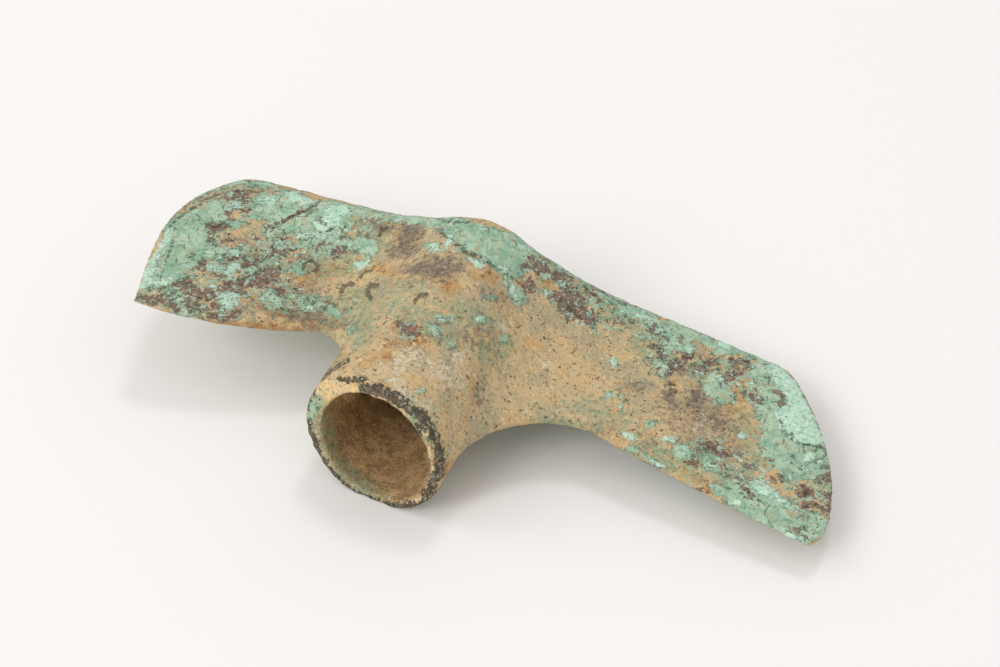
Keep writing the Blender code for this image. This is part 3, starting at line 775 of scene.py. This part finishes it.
dusk_here = broken(frayed("dusk", 1.5, 1.2, 1.6, 1.2), grain(1.1, 5, 0.75, 1.22), 0.42, 0.60, 0.2, 0.85)
skin_colour = laid_on(skin_colour, dusky, dusk_here)
soot_here = broken(frayed("soot", 1.4, 1.2, 2.0, 1.24), grain(1.2, 5, 0.75, 1.23), 0.36, 0.58, 0.25, 0.82)
sooty = laid_on(SOOT, SOOT_DARK, grain(1.0, 4, 0.7, 1.245))
skin_colour = laid_on(skin_colour, sooty, soot_here)

# Malachite plates: mid green with paler and greyer clouds, cracked, and rimmed by a thin dark line.
MALACHITE = colour(142, 184, 156)
MALACHITE_CLOUD = colour(180, 206, 178)
MALACHITE_DEEP = colour(112, 148, 122)
MALACHITE_PALE = colour(196, 220, 194)
PLATE_EARTH = colour(176, 166, 128)
PLATE_PIT = colour(96, 92, 72)
CRACK = colour(96, 88, 70)
PLATE_RIM = colour(94, 94, 74)
plate = dappled(MALACHITE, MALACHITE_CLOUD, grain(4, 5, 0.65, 1.3), 0.40, 0.58)
plate = dappled(plate, MALACHITE_DEEP, grain(2.0, 5, 0.7, 1.4), 0.52, 0.66, 0.8)
plate = dappled(plate, MALACHITE_PALE, grain(1.1, 4, 0.7, 1.5), 0.55, 0.68, 0.8)
plate = dappled(plate, PLATE_EARTH, grain(2.8, 5, 0.7, 1.6), 0.54, 0.64, 0.8)
plate = dappled(plate, PLATE_PIT, grain(0.7, 4, 0.75, 1.7), 0.59, 0.68, 0.8)
cracks = chips(4.2, 2.2, 1.75, "DISTANCE_TO_EDGE")
crack_here = between(cracks.outputs["Distance"], 0.012, 0.04, 1, 0)
crack_here = broken(crack_here, grain(3, 2, 0.5, 1.77), 0.50, 0.60)
plate = laid_on(plate, CRACK, times(crack_here, 0.65))
green_here = frayed("green", 0.8, 0.10, 1.6, 1.8)
green_rim = times(green_here, between(mark("green"), 0.05, 0.7, 1, 0))
plate = laid_on(plate, PLATE_RIM, broken(green_rim, grain(1.0, 2, 0.5, 1.9), 0.46, 0.6, 0, 0.7))
skin_colour = laid_on(skin_colour, plate, times(green_here, 0.96))

# Oxide crust: near black brown to dull red, with pale crystals in it.
OXIDE = colour(146, 120, 106)
OXIDE_DARK = colour(96, 76, 70)
OXIDE_RED = colour(162, 118, 104)
OXIDE_CRYSTAL = colour(196, 206, 184)
oxide = dappled(OXIDE, OXIDE_DARK, grain(1.0, 4, 0.7, 2.0), 0.42, 0.58)
oxide = dappled(oxide, OXIDE_RED, grain(1.8, 4, 0.7, 2.1), 0.52, 0.64)
oxide = dappled(oxide, OXIDE_CRYSTAL, grain(0.9, 3, 0.65, 2.2), 0.60, 0.65, 0.9)
crust_here = frayed("crust", 0.8, 0.10, 1.4, 2.3)

# Blooms: powdery pale green, brightest in the middle.
POWDER = colour(202, 234, 212)
POWDER_GREEN = colour(174, 216, 190)
POWDER_WHITE = colour(224, 240, 224)
POWDER_DIRT = colour(140, 152, 128)
powder = dappled(POWDER, POWDER_GREEN, grain(1.0, 4, 0.65, 2.4), 0.42, 0.62)
powder = dappled(powder, POWDER_WHITE, grain(0.7, 3, 0.6, 2.5), 0.54, 0.64)
powder = dappled(powder, POWDER_DIRT, grain(1.0, 4, 0.75, 2.55), 0.60, 0.68, 0.75)
bloom_here = frayed("bloom", 0.6, 0.16, 1.0, 2.6)

# Where the plates broke up, rags of all of these lie over each other. The grooves are darkened with dirt,
# and in the crescent dents the dark colour is also painted shade.
GROOVE_DIRT_AND_SHADE = colour(88, 76, 66)
mosaic_here = frayed("mosaic", 1.2, 0.3, 1.8, 3.6)
is_plate = times(between(grain(3.0, 4, 0.6, 3.5), 0.50, 0.525), mosaic_here)
is_oxide = times(between(grain(2.2, 4, 0.62, 3.52), 0.58, 0.60), mosaic_here)
is_powder = times(between(grain(1.8, 4, 0.6, 3.54), 0.58, 0.60), mosaic_here)
skin_colour = laid_on(skin_colour, plate, times(is_plate, 0.75))
skin_colour = laid_on(skin_colour, oxide, times(is_oxide, 0.75))
skin_colour = laid_on(skin_colour, oxide, times(crust_here, 0.82))
skin_colour = laid_on(skin_colour, powder, times(is_powder, 0.8))
skin_colour = laid_on(skin_colour, powder, times(bloom_here, 0.88))
groove_here = frayed("groove", 0.35, 0.2, 0.8, 3.8)
# Dark dirt in the scratches and cracks, and painted shade in the crescent dents.
skin_colour = laid_on(skin_colour, GROOVE_DIRT_AND_SHADE, times(groove_here, 0.7))

# Scabs: the dark grey crust on the lip of the mouth, flecked with olive and dull red. The same colours lay
# painted shade in a thin streak on the upper left of the socket.
SCAB_AND_SHADE = colour(124, 116, 96)
SCAB_AND_SHADE_DARK = colour(66, 62, 58)
SCAB_AND_SHADE_OLIVE = colour(206, 202, 158)
SCAB_AND_SHADE_RED = colour(110, 80, 70)
scab_and_shade_colour = dappled(SCAB_AND_SHADE, SCAB_AND_SHADE_DARK, grain(1.5, 5, 0.7, 3.9), 0.40, 0.54)
scab_and_shade_colour = dappled(scab_and_shade_colour, SCAB_AND_SHADE_OLIVE, grain(1.4, 5, 0.7, 3.95), 0.55, 0.63, 0.85)
scab_and_shade_colour = dappled(scab_and_shade_colour, SCAB_AND_SHADE_RED, grain(2.2, 3, 0.6, 3.97), 0.56, 0.66, 0.8)
scab_and_shade_here = frayed("scab_and_shade", 0.8, 0.2, 1.0, 3.98)
skin_colour = laid_on(skin_colour, scab_and_shade_colour, times(scab_and_shade_here, 0.92))

# Relief finer than the skin's own steps, and roughness.
fine = plus(times(grain(0.5, 4, 0.7, 4.0), 1.1), times(grain(1.5, 4, 0.65, 4.1), 1.3))
fine = plus(fine, times(dot_here, -1.4))
relief = times(fine, plus(times(green_here, -0.4), 1.0))
relief = plus(relief, times(green_here, 1.0))
relief = plus(relief, times(plus(is_plate, is_powder), 0.5))
relief = plus(relief, times(crack_here, times(green_here, -0.8)))
relief = plus(relief, times(bloom_here, 0.6))
relief = plus(relief, times(plus(crust_here, is_oxide), times(grain(0.45, 3, 0.7, 4.2), 1.4)))
relief = plus(relief, times(scab_and_shade_here, times(grain(0.8, 4, 0.7, 4.25), 2.6)))
relief = plus(relief, times(groove_here, -1.5))
bump = nodes.new("ShaderNodeBump")
bump.inputs["Strength"].default_value = 1.0
bump.inputs["Distance"].default_value = FINE_RELIEF
links.new(relief, bump.inputs["Height"])

dull = plus(between(grain(1.5, 3, 0.6, 4.3), 0.3, 0.7, 0.72, 0.9), times(green_here, -0.16))
dull = plus(dull, times(crust_here, -0.14))
shader = nodes.new("ShaderNodeBsdfPrincipled")
shader.inputs["Metallic"].default_value = 0.0
shader.inputs["Specular IOR Level"].default_value = PATINA_SHINE
links.new(skin_colour, shader.inputs["Base Color"])
links.new(dull, shader.inputs["Roughness"])
links.new(bump.outputs[0], shader.inputs["Normal"])
output = nodes.new("ShaderNodeOutputMaterial")
links.new(shader.outputs[0], output.inputs["Surface"])

skin.materials.clear()
skin.materials.append(patina)
skin.shade_smooth()
casting = bpy.data.objects.new("casting", skin)
bpy.context.scene.collection.objects.link(casting)
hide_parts("axe_head")
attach(casting, "root")

# Grains
# Crystals of copper oxide and copper carbonate have grown through the patina in small hard warts. They
# are scattered over the skin where the crust and the broken patina lie, each half sunk in it.
OXIDE_GRAIN_DARK = colour(64, 52, 46)
OXIDE_GRAIN = colour(122, 100, 84)
PALE_GRAIN_GREEN = colour(150, 186, 160)
PALE_GRAIN = colour(214, 232, 210)
STRAY_OXIDE = 0.012
STRAY_PALE = 0.02
grain_cover = 0.7 * rise(crust, 0.3) + 0.35 * rise(mosaic, 0.5) + 0.5 * rise(scab_and_shade, 0.3)
grain_cover = (grain_cover + STRAY_OXIDE) * (1 - bore)
pale_cover = 0.6 * rise(mosaic, 0.6) + 0.5 * rise(bloom, 0.4) + 0.15 * rise(green, 0.5)
pale_cover = (pale_cover + 0.2 * rise(scab_and_shade, 0.3) + STRAY_PALE) * (1 - bore)
keep_on_skin("grain_cover", grain_cover.clip(0, 1))
keep_on_skin("pale_cover", pale_cover.clip(0, 1))


WART_FORM = (1.0, 0.8, 0.55)
WART_LUMPS = 0.0003
LUMPS_PER_METRE = 2600.0


def warts_tree():
    """Half-sunk warts scattered over a skin by one of its marks."""
    tree = bpy.data.node_groups.new("warts", "GeometryNodeTree")
    face = tree.interface
    face.new_socket("Geometry", in_out="INPUT", socket_type="NodeSocketGeometry")
    for label, kind in (("Cover", "NodeSocketString"), ("Most per square metre", "NodeSocketFloat"),
                        ("Smallest", "NodeSocketFloat"), ("Largest", "NodeSocketFloat"),
                        ("Seed", "NodeSocketInt"), ("Finish", "NodeSocketMaterial")):
        face.new_socket(label, in_out="INPUT", socket_type=kind)
    face.new_socket("Geometry", in_out="OUTPUT", socket_type="NodeSocketGeometry")
    new = tree.nodes.new
    join = tree.links.new
    given = new("NodeGroupInput")
    cover = new("GeometryNodeInputNamedAttribute")
    cover.data_type = "FLOAT"
    join(given.outputs["Cover"], cover.inputs["Name"])
    density = new("ShaderNodeMath")
    density.operation = "MULTIPLY"
    join(cover.outputs["Attribute"], density.inputs[0])
    join(given.outputs["Most per square metre"], density.inputs[1])
    scatter = new("GeometryNodeDistributePointsOnFaces")
    join(given.outputs["Geometry"], scatter.inputs["Mesh"])
    join(density.outputs[0], scatter.inputs["Density"])
    join(given.outputs["Seed"], scatter.inputs["Seed"])
    ball = new("GeometryNodeMeshIcoSphere")
    ball.inputs["Radius"].default_value = 1.0
    ball.inputs["Subdivisions"].default_value = 1
    flat = new("GeometryNodeTransform")
    flat.inputs["Scale"].default_value = WART_FORM
    join(ball.outputs["Mesh"], flat.inputs["Geometry"])
    size = new("FunctionNodeRandomValue")
    size.data_type = "FLOAT"
    join(given.outputs["Smallest"], size.inputs[2])
    join(given.outputs["Largest"], size.inputs[3])
    join(given.outputs["Seed"], size.inputs["Seed"])
    warts = new("GeometryNodeInstanceOnPoints")
    join(scatter.outputs["Points"], warts.inputs["Points"])
    join(flat.outputs["Geometry"], warts.inputs["Instance"])
    join(scatter.outputs["Rotation"], warts.inputs["Rotation"])
    join(size.outputs[1], warts.inputs["Scale"])
    real = new("GeometryNodeRealizeInstances")
    join(warts.outputs["Instances"], real.inputs["Geometry"])
    lumpy = new("ShaderNodeTexNoise")
    lumpy.inputs["Scale"].default_value = LUMPS_PER_METRE
    centred = new("ShaderNodeVectorMath")
    centred.operation = "MULTIPLY_ADD"
    centred.inputs[1].default_value = (WART_LUMPS,) * 3
    centred.inputs[2].default_value = (-WART_LUMPS / 2,) * 3
    join(lumpy.outputs["Color"], centred.inputs[0])
    shaped = new("GeometryNodeSetPosition")
    join(real.outputs["Geometry"], shaped.inputs["Geometry"])
    join(centred.outputs[0], shaped.inputs["Offset"])
    smooth = new("GeometryNodeSetShadeSmooth")
    join(shaped.outputs["Geometry"], smooth.inputs["Geometry"])
    finish = new("GeometryNodeSetMaterial")
    join(smooth.outputs["Geometry"], finish.inputs["Geometry"])
    join(given.outputs["Finish"], finish.inputs["Material"])
    out = new("NodeGroupOutput")
    join(finish.outputs["Geometry"], out.inputs["Geometry"])
    return tree


def wart_finish(name, deep, bright):
    """A rough mineral grain, mottled between two colours."""
    made = bpy.data.materials.new(name)
    made.use_nodes = True
    inner = made.node_tree.nodes
    spots = inner.new("ShaderNodeTexNoise")
    spots.inputs["Scale"].default_value = 1800.0
    spots.inputs["Detail"].default_value = 3.0
    where = inner.new("ShaderNodeTexCoord")
    blend = inner.new("ShaderNodeMix")
    blend.data_type = "RGBA"
    blend.inputs[6].default_value = deep
    blend.inputs[7].default_value = bright
    rough = inner.new("ShaderNodeMapRange")
    rough.inputs["To Min"].default_value = 0.55
    rough.inputs["To Max"].default_value = 0.9
    bumps = inner.new("ShaderNodeBump")
    bumps.inputs["Distance"].default_value = 0.00008
    join = made.node_tree.links.new
    join(where.outputs["Object"], spots.inputs["Vector"])
    join(spots.outputs["Fac"], blend.inputs[0])
    join(spots.outputs["Fac"], rough.inputs["Value"])
    join(spots.outputs["Fac"], bumps.inputs["Height"])
    join(blend.outputs[2], inner["Principled BSDF"].inputs["Base Color"])
    join(rough.outputs["Result"], inner["Principled BSDF"].inputs["Roughness"])
    join(bumps.outputs[0], inner["Principled BSDF"].inputs["Normal"])
    return made


warts = warts_tree()
for name, cover, most, smallest, largest, seed, finish in (
        ("oxide_grains", "grain_cover", 3.2e5, 0.00012, 0.00030, 5,
         wart_finish("oxide_grain", OXIDE_GRAIN_DARK, OXIDE_GRAIN)),
        ("pale_grains", "pale_cover", 2.4e5, 0.00010, 0.00026, 9,
         wart_finish("pale_grain", PALE_GRAIN_GREEN, PALE_GRAIN))):
    bearer = bpy.data.objects.new(name + "_bearer", skin)
    bpy.context.scene.collection.objects.link(bearer)
    scattered = bearer.modifiers.new("warts", "NODES")
    scattered.node_group = warts
    sockets = {item.name: item.identifier for item in warts.interface.items_tree if item.in_out == "INPUT"}
    scattered[sockets["Cover"]] = cover
    scattered[sockets["Most per square metre"]] = most
    scattered[sockets["Smallest"]] = smallest
    scattered[sockets["Largest"]] = largest
    scattered[sockets["Seed"]] = seed
    scattered[sockets["Finish"]] = finish
    bpy.context.view_layer.update()
    grown = bpy.data.meshes.new_from_object(bearer.evaluated_get(bpy.context.evaluated_depsgraph_get()))
    grown.name = name
    bpy.data.objects.remove(bearer)
    set_corners(grown, corners_of(grown).clip(lowest, highest))
    print(name, len(grown.polygons), "faces")
    grains = bpy.data.objects.new(name, grown)
    bpy.context.scene.collection.objects.link(grains)
    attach(grains, "root")

# The table and the light
# A white table in a white room, lit by three soft lamps: a small one above and a little behind, a broad
# one in front at the left, and a broad one at the left. The shadow is deepest under the long blade.
FLOOR_HALF = 3.0
TABLE_WHITE = (0.93, 0.90, 0.885, 1)
LAMP_HEIGHT = 1.5
ROOM_WHITE = (1.0, 0.995, 0.985, 1)
ROOM_LIGHT = 0.672

table_mesh = bpy.data.meshes.new("table")
table_mesh.from_pydata([(-FLOOR_HALF, -FLOOR_HALF, 0), (FLOOR_HALF, -FLOOR_HALF, 0),
                        (FLOOR_HALF, FLOOR_HALF, 0), (-FLOOR_HALF, FLOOR_HALF, 0)], [], [(0, 1, 2, 3)])
table = bpy.data.objects.new("table", table_mesh)
bpy.context.scene.collection.objects.link(table)
white_top = bpy.data.materials.new("white_top")
white_top.use_nodes = True
top_shader = white_top.node_tree.nodes["Principled BSDF"]
top_shader.inputs["Base Color"].default_value = TABLE_WHITE
top_shader.inputs["Roughness"].default_value = 0.9
top_shader.inputs["Specular IOR Level"].default_value = 0.1
table_mesh.materials.append(white_top)

away = Vector((-view_back.x, -view_back.y, 0)).normalized()
for name, behind, to_right, width, power in (("lamp_above", 0.40, 0.15, 0.35, 3.2),
                                             ("lamp_in_front", -0.8, -0.9, 1.2, 15.8),
                                             ("lamp_at_left", 0.2, -1.1, 1.2, 6.5)):
    lamp_data = bpy.data.lights.new(name, "AREA")
    lamp_data.shape = "DISK"
    lamp_data.size = width
    lamp_data.energy = power
    lamp = bpy.data.objects.new(name, lamp_data)
    bpy.context.scene.collection.objects.link(lamp)
    lamp.location = (Vector((0, 0, 1)) + away * behind + view_right * to_right) * LAMP_HEIGHT
    lamp.rotation_euler = lamp.location.to_track_quat("Z", "Y").to_euler()

room = bpy.data.worlds.new("room")
room.use_nodes = True
room.node_tree.nodes["Background"].inputs["Color"].default_value = ROOM_WHITE
room.node_tree.nodes["Background"].inputs["Strength"].default_value = ROOM_LIGHT
bpy.context.scene.world = room
bpy.context.scene.view_settings.view_transform = "Standard"
